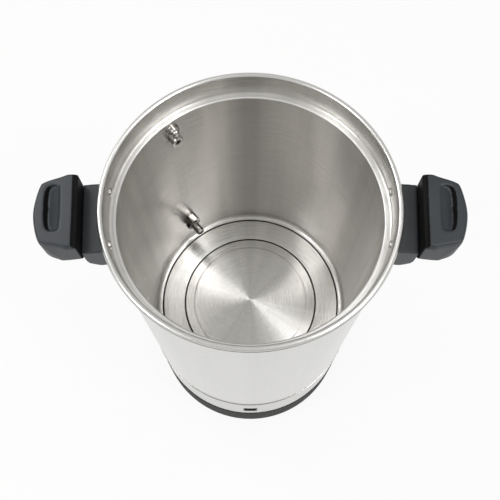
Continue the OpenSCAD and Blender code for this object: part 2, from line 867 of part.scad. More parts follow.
module tube_seals() {
  color("white") at_front() translate([tube_x, 0, 0]) {
    ring_z(tube_r + slip, tube_socket_r - slip, [foot_block_z[1] - 6, foot_block_z[1] - 1]);
    ring_z(tube_r + slip, tube_socket_r - slip, [top_block_z[0] + 1, top_block_z[0] + 6]);
  }
}

module guard_rods() {
  from = foot_block_z[1] - rod_bite + seat;
  to = top_block_z[0] + rod_bite - seat;
  color("silver") at_front() for (side = [-1, 1])
    translate([rod_x, side * rod_y, from]) cylinder(h = to - from, r = rod_r);
}

// Tap
module tap_body() {
  color("silver") at_front() difference() {
    union() {
      bar_x(inlet_boss_r, block_face_x, valve_x, shank_z);
      translate([valve_x, 0, chamber_z[0]]) cylinder(h = chamber_z[1] - chamber_z[0], r = chamber_r);
      translate([valve_x, 0, chamber_z[0] - spout_len]) rotate_extrude() polygon([
        [0, 0], [spout_r - 1, 0], [spout_r, 1], [spout_r, spout_len - 6],
        [spout_r + 3, spout_len], [spout_r + 3, spout_len + 1], [0, spout_len + 1]
      ]);
    }
    bar_x(shank_r + slip, block_face_x - 1, block_face_x + shank_bite + 0.2, shank_z);
    bar_x(shank_r - 2, block_face_x, valve_x, shank_z);
    translate([valve_x, 0, seat_z]) cylinder(h = chamber_z[1], r = chamber_bore_r);
    translate([valve_x, 0, chamber_z[0] - spout_len - 1])
      cylinder(h = seat_z - chamber_z[0] + spout_len + 2, r = spout_bore_r);
  }
}

module bonnet() {
  color("silver") at_front() translate([valve_x, 0, 0]) difference() {
    translate([0, 0, bonnet_z - bonnet_skirt]) cylinder(h = bonnet_skirt + bonnet_top_t, r = bonnet_r);
    translate([0, 0, bonnet_z - bonnet_skirt - 1]) cylinder(h = bonnet_skirt + 1, r = chamber_r + seat);
    translate([0, 0, bonnet_z - 1]) cylinder(h = bonnet_top_t + 2, r = stem_r + slip);
  }
}

module valve_stem() {
  color("silver") at_front() translate([valve_x, 0, 0]) difference() {
    union() {
      translate([0, 0, flange_z - stem_stub]) cylinder(h = stem_stub + 1, r = stem_r - 0.5);
      translate([0, 0, flange_z]) cylinder(h = stem_flange_h, r = stem_flange_r);
      translate([0, 0, flange_z + 1]) cylinder(h = stem_head_z[0] - flange_z, r = stem_r);
      translate([-stem_head[0] / 2, -stem_head[1] / 2, stem_head_z[0]])
        cube([stem_head[0], stem_head[1], stem_head_z[1] - stem_head_z[0]]);
    }
    translate([0, -stem_head[1], lever_pin_z]) rotate([-90, 0, 0])
      cylinder(h = 2 * stem_head[1], r = lever_pin_r + slip / 2);
  }
}

module seat_plug() {
  color("white") at_front() translate([valve_x, 0, plug_z]) difference() {
    cylinder(h = plug_h, r = plug_r);
    translate([0, 0, plug_h - stem_stub - seat]) cylinder(h = stem_stub + 1, r = stem_r - 0.5 + slip);
  }
}

// Return spring: one closed tube swept along a helix
function spring_centre(i) =
  let (a = 360 * i / spring_steps, n = spring_turns * spring_steps)
  [spring_r * cos(a), spring_r * sin(a), spring_z[0] + (spring_z[1] - spring_z[0]) * i / n];

module return_spring() {
  sides = 6;
  n = spring_turns * spring_steps;
  points = [for (i = [0 : n], k = [0 : sides - 1])
    let (c = spring_centre(i), a = 360 * i / spring_steps, b = 360 * k / sides)
    c + spring_wire_r * [cos(b) * cos(a), cos(b) * sin(a), sin(b)]];
  walls = [for (i = [0 : n - 1], k = [0 : sides - 1], half = [0, 1])
    let (p = i * sides + k, q = i * sides + (k + 1) % sides)
    half == 0 ? [p, p + sides, q] : [q, p + sides, q + sides]];
  caps = [for (k = [1 : sides - 2], end = [0, 1])
    end == 0 ? [0, k, k + 1] : [n * sides, n * sides + k + 1, n * sides + k]];
  pitch = (spring_z[1] - spring_z[0]) / spring_turns;
  echo(least_gap_between_spring_turns = pitch - 2 * spring_wire_r);
  color("gray") at_front() translate([valve_x, 0, 0])
    polyhedron(points = points, faces = concat(walls, caps));
}

module across_lever(half_w) {
  translate([0, half_w, 0]) rotate([90, 0, 0]) linear_extrude(2 * half_w) children();
}

module tap_lever() {
  color("black") at_front() translate([valve_x, 0, lever_pin_z]) difference() {
    union() {
      across_lever(fork_half_w) translate([cam_offset, 0]) circle(cam_r);
      intersection() {
        across_lever(paddle_half_w) polygon([
          [-4, 0], [cam_offset + 6, 0], [cam_offset + 3, heel_len], [paddle_t - 2, lever_len - 3],
          [paddle_t - 4, lever_len], [1, lever_len], [-1, lever_len - 3], [-4, heel_len]
        ]);
        rotate([90, 0, 90]) translate([0, 0, -lever_len]) linear_extrude(2 * lever_len) polygon(concat(
          [[-fork_half_w, 0], [fork_half_w, 0], [fork_half_w, fork_len], [paddle_half_w, flare_len]],
          arc([0, lever_len - paddle_half_w], paddle_half_w, 0, 180, 12),
          [[-paddle_half_w, flare_len], [-fork_half_w, fork_len]]
        ));
      }
    }
    across_lever(fork_gap / 2) circle(fork_clear_r);
    across_lever(fork_gap / 2) translate([-2 * cam_r, -2 * cam_r]) square([4 * cam_r, 2 * cam_r]);
    across_lever(2 * fork_half_w) circle(lever_pin_r + slip);
  }
}

module lever_pin() {
  color("silver") at_front() translate([valve_x, 0, lever_pin_z])
    across_lever(fork_half_w) circle(lever_pin_r);
}

// Handles
// What rounds off the underside of a mount towards its grip
module mount_nose() {
  nose = [mount_face_x - mount_nose_r, mount_z[0] + mount_nose_r];
  translate([0, mount_half_w + 1, 0]) rotate([90, 0, 0])
    linear_extrude(2 * mount_half_w + 2) polygon(concat(
      [[mount_face_x + 1, nose[1]], [mount_face_x + 1, mount_z[0] - 1], [nose[0], mount_z[0] - 1]],
      arc(nose, mount_nose_r, -90, 0, 10)
    ));
}

module handle_mount() {
  color("darkslategray") difference() {
    union() {
      difference() {
        intersection() {
          translate([shell_r - 12, -mount_half_w, mount_z[0]])
            cube([mount_face_x - shell_r + 12, 2 * mount_half_w, mount_h]);
          rotate([90, 0, 90]) linear_extrude(mount_face_x + 1) polygon([
            [-mount_half_w + mount_chamfer, mount_z[0]], [mount_half_w - mount_chamfer, mount_z[0]],
            [mount_half_w, mount_z[0] + mount_chamfer], [mount_half_w, mount_z[1]],
            [-mount_half_w, mount_z[1]], [-mount_half_w, mount_z[0] + mount_chamfer]
          ]);
        }
        cylinder(h = 2 * rim_z, r = shell_r + slip, $fn = 180);
        mount_nose();
      }
      translate([mount_face_x - 1, -tongue[1] / 2, tongue_z]) cube([tongue[0] + 1, tongue[1], tongue[2]]);
    }
    rivet_bores(rivet_r + slip, shell_r - 5, shell_r + rivet_bite + seat);
    for (y = [-grip_screw_y, grip_screw_y])
      translate([mount_face_x + tongue[0] / 2, y, tongue_z - 1]) cylinder(h = tongue[2], r = screw_r + slip);
  }
}

// Plan outline of a grip, drawn in on its inner side, its outer side and its ends
function grip_plan(bevel, edge, ends, shoulder_at) =
  let (
    inner = grip_x[0] + bevel,
    outer = grip_x[1] - edge,
    side = grip_half_l - ends,
    shoulder = grip_x[0] + shoulder_at,
    bulge = grip_bulge_az * side / grip_half_l
  )
  concat(
    [[inner, -side], [shoulder, -side]],
    arc([outer - grip_bulge_r, 0], grip_bulge_r, -bulge, bulge, 10),
    [[shoulder, side], [inner, side]]
  );

module grip_layer(z, h, bevel, edge, ends, shoulder_at = grip_shoulder) {
  translate([0, 0, z]) linear_extrude(h) polygon(grip_plan(bevel, edge, ends, shoulder_at));
}

// Outline of the thumb pocket: a straight inner edge and an outer one that is round at both ends
function thumb_outline() = [
  for (i = [0 : thumb_steps]) let (a = 180 * i / thumb_steps - 90)
    [thumb_size[0] * pow(cos(a), 0.55), sign(a) * thumb_size[1] / 2 * pow(abs(sin(a)), 0.75)]
];

module grip() {
  pocket_x = mount_face_x + tongue[0] + grip_t;
  color("darkslategray") difference() {
    hull() {
      grip_layer(grip_z[0], 1, 0, grip_edge, grip_edge, grip_low_shoulder);
      grip_layer(grip_z[0] + grip_low_h, 1, 0, 0, 0, grip_low_shoulder);
      grip_layer(grip_z[0] + grip_low_h, grip_h - grip_low_h - grip_bevel_h, 0, 0, 0);
      grip_layer(grip_z[1] - 1, 1, grip_bevel, grip_top_edge, grip_top_edge);
    }
    translate([mount_face_x, -tongue[1] / 2 - moving_gap, tongue_z - moving_gap])
      cube([tongue[0] + moving_gap, tongue[1] + 2 * moving_gap, tongue[2] + 2 * moving_gap]);
    intersection() {
      grip_layer(grip_z[0] - 1, grip_h * finger_rise, grip_t, grip_t + 3, grip_t + 3);
      translate([pocket_x, -grip_half_l, 0]) cube([grip_depth, 2 * grip_half_l, 2 * rim_z]);
    }
    translate([thumb_x, thumb_shift, grip_z[1] - thumb_edge]) rotate([0, thumb_tilt, 0])
      linear_extrude(grip_h) polygon(thumb_outline());
    for (y = [-grip_screw_y, grip_screw_y]) translate([mount_face_x + tongue[0] / 2, y, 0]) {
      translate([0, 0, grip_z[0] - 1]) cylinder(h = screw_head_h + 1, r = screw_head_r + seat);
      translate([0, 0, grip_z[0]]) cylinder(h = tongue_z - grip_z[0], r = screw_r + seat);
    }
  }
}

module left_mount() { at_left() handle_mount(); }

module right_mount() { at_right() handle_mount(); }

module left_grip() { at_left() grip(); }

module right_grip() { at_right() grip(); }

module rivet_pair() {
  head_face_x = sqrt(shell_in_r * shell_in_r - rivet_head_r * rivet_head_r) - slip;
  for (a = [-rivet_az, rivet_az]) rotate([0, 0, a]) {
    translate([head_face_x, 0, rivet_z]) rotate([0, -90, 0]) rotate_extrude() polygon(concat(
      [[0, 0]], [for (p = arc([0, 0], 1, 0, 90, 8)) [p[0] * rivet_head_r, p[1] * rivet_head_h]]
    ));
    bar_x(rivet_r, head_face_x - 1, shell_r + rivet_bite, rivet_z);
  }
}

module handle_rivets() {
  color("silver") {
    at_right() rivet_pair();
    at_left() rivet_pair();
  }
}

module grip_screw_pair() {
  for (y = [-grip_screw_y, grip_screw_y]) translate([mount_face_x + tongue[0] / 2, y, 0]) {
    translate([0, 0, grip_z[0] + seat]) cylinder(h = screw_head_h - seat, r = screw_head_r);
    translate([0, 0, grip_z[0] + 1]) cylinder(h = tongue_z - grip_z[0] + tongue[2] - 3, r = screw_r);
  }
}

module grip_screws() {
  color("silver") {
    at_right() grip_screw_pair();
    at_left() grip_screw_pair();
  }
}

tank();
tank_floor();
outer_shell();
base_skirt();
base_ring();
base_plate();
rubber_feet();
base_screws();
heating_plate();
heating_element();
element_terminals();
tie_studs();
tie_nuts();
thermostat();
thermostat_bulb();
thermostat_spindle();
control_bezel();
control_knob();
power_lamp();
ready_lamp();
cutout();
cutout_bulb();
reset_button();
inlet_socket();
inlet_pins();
tap_shank();
shank_locknut();
port_bolt();
dome_stud();
socket_screw();
wall_washers();
wall_spacers();
gauge_foot();
gauge_top();
sight_tube();
tube_seals();
guard_rods();
tap_body();
bonnet();
valve_stem();
seat_plug();
return_spring();
tap_lever();
lever_pin();
left_mount();
right_mount();
left_grip();
right_grip();
handle_rivets();
grip_screws();
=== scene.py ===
# %% [markdown]
# # A hot water urn, open at the top and seen from above
# The CAD part gives every size. Here each piece gets its finish, and the pieces that the eye reads first get
# smoother forms: turned sheet metal, moulded plastic, small polished fittings. Sizes are in millimetres and
# angles in degrees, unless a line says otherwise.

# %% Load the CAD part
import json
import math
import bmesh
import bpy
from mathutils import Matrix, Vector


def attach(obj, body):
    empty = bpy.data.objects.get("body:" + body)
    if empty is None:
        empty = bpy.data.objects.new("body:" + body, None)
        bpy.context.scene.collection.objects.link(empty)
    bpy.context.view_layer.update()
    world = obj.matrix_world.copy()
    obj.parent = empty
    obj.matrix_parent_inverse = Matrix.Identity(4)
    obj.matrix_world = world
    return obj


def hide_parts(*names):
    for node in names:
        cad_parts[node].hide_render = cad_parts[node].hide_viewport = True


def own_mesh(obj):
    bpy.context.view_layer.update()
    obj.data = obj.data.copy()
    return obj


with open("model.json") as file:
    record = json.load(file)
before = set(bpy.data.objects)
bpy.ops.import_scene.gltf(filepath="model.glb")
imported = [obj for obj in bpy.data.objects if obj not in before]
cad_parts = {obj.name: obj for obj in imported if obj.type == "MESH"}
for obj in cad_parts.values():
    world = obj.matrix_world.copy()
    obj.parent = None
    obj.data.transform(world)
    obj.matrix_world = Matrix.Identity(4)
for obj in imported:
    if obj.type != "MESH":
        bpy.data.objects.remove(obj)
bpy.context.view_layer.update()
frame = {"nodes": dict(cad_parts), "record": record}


def heading(bearing):
    """A level direction, by its bearing from +X."""
    turn = math.radians(bearing)
    return Vector((math.cos(turn), math.sin(turn), 0))


MM = 0.001
UP = Vector((0, 0, 1))
OUT = heading(130)  # towards the tap, the gauge and the dial
HANDLE_TURN = 4.9  # how far each handle is turned towards the camera


# %% [markdown]
# ## Materials
# Every finish is made of noise on the piece's own place in the urn. Brushed sheet was rolled or spun about the
# urn's axis, so its scratches run round the axis: the noise is stretched round it and packed tightly along the
# wall. One set of nodes serves wall and floor, because height plus radius grows along both.

# %% Small helpers for shader nodes
def fresh(name):
    """A new material with an empty tree, its shader and its output."""
    material = bpy.data.materials.new(name)
    material.use_nodes = True
    tree = material.node_tree
    tree.nodes.clear()
    out = tree.nodes.new("ShaderNodeOutputMaterial")
    shader = tree.nodes.new("ShaderNodeBsdfPrincipled")
    tree.links.new(shader.outputs[0], out.inputs[0])
    return material, tree, shader


def add(tree, kind, links=(), **values):
    """A node with its settings, its typed inputs and its links in one call."""
    node = tree.nodes.new(kind)
    for key, value in values.items():
        if hasattr(node, key):
            setattr(node, key, value)
        else:
            node.inputs[key.replace("_", " ")].default_value = value
    for key, socket in links:
        tree.links.new(socket, node.inputs[key])
    return node


NOISE_LOW, NOISE_HIGH = 0.3, 0.7  # the part of a noise value's range that is put to use


def ramp(tree, factor, low, high):
    """A two-colour ramp on a noise value."""
    node = add(tree, "ShaderNodeValToRGB", [("Fac", factor)])
    stops = node.color_ramp.elements
    stops[0].position, stops[1].position = NOISE_LOW, NOISE_HIGH
    stops[0].color = (*low, 1)
    stops[1].color = (*high, 1)
    return node.outputs["Color"]


def spread(tree, value, low, high, start=NOISE_LOW, end=NOISE_HIGH):
    """A value drawn out between two limits."""
    limits = {"From_Min": start, "From_Max": end, "To_Min": low, "To_Max": high}
    return add(tree, "ShaderNodeMapRange", [("Value", value)], **limits).outputs["Result"]


def noise(tree, vector, scale, **values):
    """A noise value at a place."""
    return add(tree, "ShaderNodeTexNoise", [("Vector", vector)], Scale=scale, **values).outputs[0]


def vector_maths(tree, operation, links):
    """A vector maths node."""
    return add(tree, "ShaderNodeVectorMath", links, operation=operation)


# %% Brushed and spun steel
ROUND_SCALE = 2.5  # scratch noise round the axis: low, so that scratches are long
BAND_SHARE = 0.55  # share of the broad bands in the tone, the rest is scratches


def brushed_steel(name, colour, rough, stretch, lines, streak):
    """Steel with scratches round the axis: how rough, how far it stretches light, how fine, how uneven in tone."""
    material, tree, shader = fresh(name)
    place = add(tree, "ShaderNodeTexCoord").outputs["Object"]
    level = vector_maths(tree, "MULTIPLY", [(0, place)])
    level.inputs[1].default_value = (1, 1, 0)
    radius = vector_maths(tree, "LENGTH", [(0, level.outputs[0])]).outputs["Value"]
    way = vector_maths(tree, "NORMALIZE", [(0, level.outputs[0])]).outputs[0]
    height = add(tree, "ShaderNodeSeparateXYZ", [(0, place)]).outputs["Z"]
    along = add(tree, "ShaderNodeMath", [(0, radius), (1, height)], operation="ADD").outputs[0]
    east_north = add(tree, "ShaderNodeSeparateXYZ", [(0, way)]).outputs
    strip_links = [("X", east_north["X"]), ("Y", east_north["Y"]), ("Z", along)]
    strip = add(tree, "ShaderNodeCombineXYZ", strip_links)
    fine = add(tree, "ShaderNodeMapping", [("Vector", strip.outputs[0])])
    fine.inputs["Scale"].default_value = (ROUND_SCALE, ROUND_SCALE, lines)
    scratch = noise(tree, fine.outputs[0], 1.0, Detail=4.0, Roughness=0.6)
    band = noise(tree, way, 5.5, Detail=3.0, Roughness=0.55)
    mixed = add(tree, "ShaderNodeMix", [(2, scratch), (3, band)], data_type="FLOAT")
    mixed.inputs[0].default_value = BAND_SHARE
    low = [c * (1 - streak) for c in colour]
    high = [min(1, c * (1 + streak)) for c in colour]
    tree.links.new(ramp(tree, mixed.outputs[0], low, high), shader.inputs["Base Color"])
    tree.links.new(spread(tree, scratch, rough * 0.8, rough * 1.2), shader.inputs["Roughness"])
    relief = add(tree, "ShaderNodeBump", [("Height", scratch)], Strength=0.02, Distance=0.0004)
    tree.links.new(relief.outputs[0], shader.inputs["Normal"])
    across = vector_maths(tree, "CROSS_PRODUCT", [(1, place)])
    across.inputs[0].default_value = UP
    tree.links.new(across.outputs[0], shader.inputs["Tangent"])
    shader.inputs["Metallic"].default_value = 1
    shader.inputs["Anisotropic"].default_value = stretch
    shader.inputs["Anisotropic Rotation"].default_value = 0.25
    return material


# %% Grained finishes: plastic, rubber, cast and plated metal
def grained(name, low, high, rough, grain, bump, metal=0.0):
    """A finish with a fine even grain and a slow change of tone between two colours."""
    material, tree, shader = fresh(name)
    place = add(tree, "ShaderNodeTexCoord").outputs["Object"]
    slow = noise(tree, place, 35.0, Detail=3.0)
    fine = noise(tree, place, grain, Detail=2.0)
    tree.links.new(ramp(tree, slow, low, high), shader.inputs["Base Color"])
    tree.links.new(spread(tree, fine, rough * 0.88, rough * 1.12), shader.inputs["Roughness"])
    relief = add(tree, "ShaderNodeBump", [("Height", fine)], Strength=bump, Distance=0.0002)
    tree.links.new(relief.outputs[0], shader.inputs["Normal"])
    shader.inputs["Metallic"].default_value = metal
    return material


def grey(tone):
    """A colour without a hue."""
    return (tone, tone, tone)


# %% The finishes
# Columns: name, colour, roughness, stretch of light, scratches per metre, streak
BRUSHED = {
    "wall": ("tank wall steel", (0.72, 0.705, 0.68), 0.31, 0.90, 3200, 0.18),
    "floor": ("spun floor steel", (0.74, 0.73, 0.71), 0.29, 0.92, 3600, 0.14),
    "jacket": ("jacket steel", (0.68, 0.675, 0.66), 0.28, 0.7, 3200, 0.04),
    "skirt": ("skirt steel", (0.62, 0.615, 0.60), 0.30, 0.7, 3200, 0.04),
    "bead": ("rolled rim steel", (0.78, 0.775, 0.76), 0.29, 0.4, 2600, 0.04),
    "ledge": ("ledge steel", (0.76, 0.755, 0.74), 0.40, 0.4, 2600, 0.05),
    # Painted shade under the rolled rim: the bead's downward faces get a dark colour
    "painted_rim_shade": ("rim steel with painted shade", (0.16, 0.155, 0.15), 0.42, 0.5, 2600, 0.08),
    "brushed_steel": ("sheet steel", (0.64, 0.63, 0.61), 0.28, 0.7, 3200, 0.05),
}
# Columns of the next two: name, darker tone, lighter tone, roughness, grain, bump
METAL = {
    # Painted shade in grooves, bores and recesses: a dark colour where shade falls
    "groove": ("groove and bore steel with painted shade", (0.050, 0.048, 0.045), (0.080, 0.077, 0.072), 0.6, 500.0, 0.05),
    "polished_steel": ("polished steel", (0.62, 0.60, 0.57), (0.72, 0.70, 0.67), 0.09, 900.0, 0.01),
    "plain_steel": ("zinc-plated steel", (0.46, 0.46, 0.45), (0.56, 0.56, 0.55), 0.36, 700.0, 0.04),
    "dark_steel": ("dark plated steel", (0.10, 0.095, 0.085), (0.17, 0.16, 0.15), 0.30, 700.0, 0.04),
    "aluminium": ("cast aluminium", grey(0.62), grey(0.72), 0.42, 500.0, 0.15),
    "brass": ("brass", (0.62, 0.42, 0.16), (0.74, 0.52, 0.22), 0.28, 600.0, 0.03),
}
PLASTIC = {
    "grey_plastic": ("slate grey plastic", (0.015, 0.019, 0.024), (0.021, 0.026, 0.032), 0.44, 1500.0, 0.10),
    # Painted shade: near black on the grip faces that look back at the jacket
    "painted_shade_plastic": ("near-black painted shade face", grey(0.004), grey(0.007), 0.55, 1500.0, 0.05),
    "black_plastic": ("black plastic", (0.022, 0.022, 0.023), (0.030, 0.030, 0.031), 0.50, 1400.0, 0.08),
    "base_plastic": ("matt base plastic", grey(0.020), grey(0.028), 0.70, 1100.0, 0.12),
    "white_plastic": ("white plastic", (0.70, 0.69, 0.65), (0.80, 0.79, 0.75), 0.45, 900.0, 0.05),
    "black_rubber": ("black rubber", grey(0.014), grey(0.024), 0.75, 900.0, 0.15),
    "silicone": ("white silicone", (0.68, 0.68, 0.66), (0.78, 0.78, 0.76), 0.55, 700.0, 0.05),
    "red_plastic": ("red lens", (0.55, 0.02, 0.01), (0.68, 0.04, 0.02), 0.16, 500.0, 0.03),
    "green_plastic": ("green lens", (0.03, 0.32, 0.05), (0.06, 0.42, 0.08), 0.16, 500.0, 0.03),
    "gauge_glass": ("gauge glass", (0.90, 0.95, 0.94), (0.96, 0.99, 0.98), 0.03, 300.0, 0.01),
}
FINISH = {key: brushed_steel(*row) for key, row in BRUSHED.items()}
FINISH.update({key: grained(*row, metal=1.0) for key, row in METAL.items()})
FINISH.update({key: grained(*row) for key, row in PLASTIC.items()})
# Inputs that only a few finishes need
EXTRA = [
    ("painted_shade_plastic", "Specular IOR Level", 0.12),
    ("black_plastic", "Specular IOR Level", 0.25),
    ("base_plastic", "Specular IOR Level", 0.2),
    ("gauge_glass", "Transmission Weight", 1),
    ("gauge_glass", "IOR", 1.47),
]
for key, title, value in EXTRA:
    FINISH[key].node_tree.nodes["Principled BSDF"].inputs[title].default_value = value
print("finishes", len(FINISH))


# %% [markdown]
# ## Pieces taken over from CAD
# Every CAD node first gets the finish of its slot from the record. Later steps put better forms over some of
# them.

# %% Dress every node
SLOT = {row["node"]: row["material_slot"] for row in frame["record"]["subparts"]}
BODY = {node: body for body, names in frame["record"]["behaviour"]["bodies"].items() for node in names}
for name, node in frame["nodes"].items():
    node.data.materials.clear()
    node.data.materials.append(FINISH[SLOT[name]])


# %% [markdown]
# ## Turned sheet
# Tank, floor, jacket and base are all turned about one axis. A profile is drawn once and spun. Doing it here,
# with many more steps than the CAD mesh has, keeps the long reflections smooth.

# %% Profile helpers and the spinning tool
def arc(x, z, r, start, end, steps=8):
    """Points of an arc in the profile's plane."""
    turns = [math.radians(start + (end - start) * i / steps) for i in range(steps + 1)]
    return [(x + r * math.cos(a), z + r * math.sin(a)) for a in turns]


def link(name, mesh):
    """A scene object for a finished mesh."""
    piece = bpy.data.objects.new(name, mesh)
    bpy.context.scene.collection.objects.link(piece)
    return piece


def shade(mesh, angle=32):
    """Smooth faces, with edges kept where they turn by more than an angle."""
    mesh.polygons.foreach_set("use_smooth", [True] * len(mesh.polygons))
    mesh.set_sharp_from_angle(angle=math.radians(angle))


def spun(name, profile, steps=288):
    """A closed profile of radius and height, spun about the urn's axis."""
    shape = bmesh.new()
    turns = [2 * math.pi * i / steps for i in range(steps)]
    rings = []
    for x, z in profile:
        if x == 0:
            rings.append([shape.verts.new((0, 0, z * MM))] * steps)
            continue
        spots = [(x * MM * math.cos(a), x * MM * math.sin(a), z * MM) for a in turns]
        rings.append([shape.verts.new(spot) for spot in spots])
    for a, b in zip(rings, rings[1:] + rings[:1]):
        for i in range(steps):
            j = (i + 1) % steps
            corners = list(dict.fromkeys([a[i], a[j], b[j], b[i]]))
            if len(corners) > 2:
                shape.faces.new(corners)
    bmesh.ops.recalc_face_normals(shape, faces=shape.faces)
    mesh = bpy.data.meshes.new(name)
    shape.to_mesh(mesh)
    shape.free()
    shade(mesh)
    return link(name, mesh)


def settle(piece, body, slot, material, *nodes):
    """Gives a finished piece its material and its body, and hides the nodes that it stands for; its slot is not
    used.
    """
    piece.data.materials.clear()
    piece.data.materials.append(FINISH[material])
    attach(piece, body)
    if nodes:
        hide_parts(*nodes)
    return piece


def zone(piece, material, test):
    """Puts a second finish on the faces whose middle and direction pass a test."""
    piece.data.materials.append(FINISH[material])
    index = len(piece.data.materials) - 1
    for face in piece.data.polygons:
        if test(face.center / MM, face.normal):
            face.material_index = index


# %% [markdown]
# The tank is rolled from sheet. Its upper edge turns outward over a rounded lip into the lid ledge, which has one
# pressed line in it, and then up again against the jacket. That last small curve is what parts the bright ledge
# from the greyer collar above it.

# %% Tank wall with its lid ledge
WALL_IN, WALL_OUT = 136, 137
WALL_FOOT = 181.05
LIP = (137.8, 492.2)  # middle of the lip's curve
LEDGE = 494
tank_profile = (
    [(WALL_IN, WALL_FOOT), (WALL_IN, 300), (WALL_IN, 420), (WALL_IN, LIP[1])] + arc(*LIP, 1.8, 180, 90)[1:]
    + [(139.35, LEDGE), (139.6, 493.6), (140.1, 493.6), (140.35, LEDGE)] + arc(141.3, 496.6, 2.6, -90, 0, 6)
    + [(143.9, 493)] + arc(*LIP, 0.8, 90, 180) + [(WALL_OUT, WALL_FOOT)]
)
tank_wall = settle(spun("tank_wall", tank_profile), "urn", "brushed_steel", "wall", "tank")
zone(tank_wall, "ledge", lambda at, way: at.z > 492.8 and way.z > 0.5 and at.xy.length < 142.2)

# %% [markdown]
# The floor is one pressing: a raised disc, two ring grooves and a cove. The groove edges get a small radius,
# since a press never leaves a knife edge. The grooves get a dark colour as painted shade.

# %% Floor pan
GROOVES = ((94.2, 96.4), (126.3, 128.5))  # inner and outer radius of each
GROOVE_DEPTH = 2.6
DISC, PAN, PAN_BACK = 175, 174, 170.5  # heights of the disc, of the pan round it and of its underside
COVE = (129, 181)  # middle of the cove's curve


def groove(inner, outer, r=0.3):
    """A pressed ring groove with rounded edges, from its inner to its outer side."""
    low = PAN - GROOVE_DEPTH
    return (
        arc(inner - r, PAN - r, r, 90, 0, 4) + arc(inner + r, low + r, r, 180, 270, 4)
        + arc(outer - r, low + r, r, 270, 360, 4) + arc(outer + r, PAN - r, r, 180, 90, 4)
    )


def in_groove(at, way):
    """Whether a face of the floor lies in a groove."""
    return at.z < 173.75 and any(inner - 0.2 < at.xy.length < outer + 0.2 for inner, outer in GROOVES)


floor_profile = (
    [(0, 173), (0, DISC), (20, DISC), (45, DISC), (70, DISC)] + arc(80.6, 173.6, 1.4, 90, 50, 4)
    + [(82.6, 174.12), (83.4, PAN)] + groove(*GROOVES[0]) + [(105, PAN), (115, PAN)]
    + groove(*GROOVES[1]) + arc(*COVE, 7, -90, 0, 10)
    + arc(*COVE, 8, 0, -90, 10) + [(126, PAN_BACK), (97.5, PAN_BACK), (93, PAN_BACK), (93, 173)]
)
floor_pan = settle(spun("floor_pan", floor_profile), "urn", "brushed_steel", "floor", "tank_floor")
# Painted shade: the floor's grooves take the dark finish
zone(floor_pan, "groove", in_groove)

# %% [markdown]
# The jacket's upper edge is rolled outward over a wire into a bead. The bead's underside gets a dark colour as
# painted shade, which reads as a dark line along the rim.

# %% Jacket with its rolled rim
JACKET_IN, JACKET_OUT = 144, 145
JACKET_FOOT = 136
BEAD = (147, 521)  # middle of the bead
jacket_profile = (
    [(JACKET_IN, JACKET_FOOT), (JACKET_IN, 490)] + arc(*BEAD, 3, 180, -131.8, 28)
    + [(JACKET_OUT, 330), (JACKET_OUT, JACKET_FOOT)]
)
jacket = settle(spun("jacket", jacket_profile), "urn", "brushed_steel", "jacket", "outer_shell")
zone(jacket, "wall", lambda at, way: at.xy.length < 144.2)
zone(jacket, "bead", lambda at, way: at.z > 518.2 and at.xy.length > 144.02)
# Painted shade: the bead's faces that point down take the dark finish
zone(jacket, "painted_rim_shade", lambda at, way: at.z > 518 and at.xy.length > BEAD[0] and way.z < 0.42)

# %% [markdown]
# The base is a black moulded band. Its upper edge has a step for the skirt to stand on, and its lower edge is
# rounded.

# %% Base band
base_profile = (
    [(130.1, 2)] + arc(146.3, 3.2, 1.2, -90, 0, 5) + [(147.4, 30), (147.05, 62)]
    + arc(145.9, 68.9, 1.1, 0, 90, 5) + [(145.05, 70), (145, 73), (142.2, 73), (142, 72.8)]
    + [(142, 12), (120, 12), (120, 9), (130.1, 9)]
)
settle(spun("base_band", base_profile), "urn", "black_plastic", "base_plastic", "base_ring")
print("turned pieces done")

# %% [markdown]
# ## Softened copies
# Plastic mouldings have no sharp edges. A copy of the CAD mesh is joined up, rebuilt from fine cells and relaxed,
# so each edge gets a small even radius. Machined pieces keep their flats and get a narrow bevel instead.

# %% Copies with softened edges
def copied(node, flat=True):
    """A joined-up copy of a CAD node's mesh, with flat areas made one face again where that helps."""
    shape = bmesh.new()
    shape.from_mesh(frame["nodes"][node].data)
    bmesh.ops.remove_doubles(shape, verts=shape.verts, dist=2e-6)
    if flat:
        limit = math.radians(0.5)
        bmesh.ops.dissolve_limit(shape, angle_limit=limit, verts=shape.verts, edges=shape.edges)
    bmesh.ops.recalc_face_normals(shape, faces=shape.faces)
    mesh = bpy.data.meshes.new(node)
    shape.to_mesh(mesh)
    shape.free()
    return mesh


def baked(piece):
    """Makes a piece's modifiers part of its mesh."""
    bpy.context.view_layer.update()
    graph = bpy.context.evaluated_depsgraph_get()
    mesh = bpy.data.meshes.new_from_object(piece.evaluated_get(graph))
    piece.modifiers.clear()
    piece.data = mesh


def moulded(node, cell, rounds, material):
    """A plastic piece: the CAD form with every edge rounded."""
    piece = link("moulded_" + node, copied(node))
    cells = piece.modifiers.new("cells", "REMESH")
    cells.mode = "VOXEL"
    cells.voxel_size = cell * MM
    relax = piece.modifiers.new("relax", "SMOOTH")
    relax.factor = 0.5
    relax.iterations = rounds
    baked(piece)
    shade(piece.data, 60)
    return settle(piece, BODY[node], SLOT[node], material, node)


def machined(node, width, material):
    """A metal piece: the CAD form with a narrow bevel on its sharp edges."""
    piece = link("machined_" + node, copied(node))
    edge = piece.modifiers.new("edge", "BEVEL")
    edge.width = width * MM
    edge.segments = 2
    edge.limit_method = "ANGLE"
    edge.angle_limit = math.radians(40)
    baked(piece)
    shade(piece.data, 30)
    return settle(piece, BODY[node], SLOT[node], material, node)


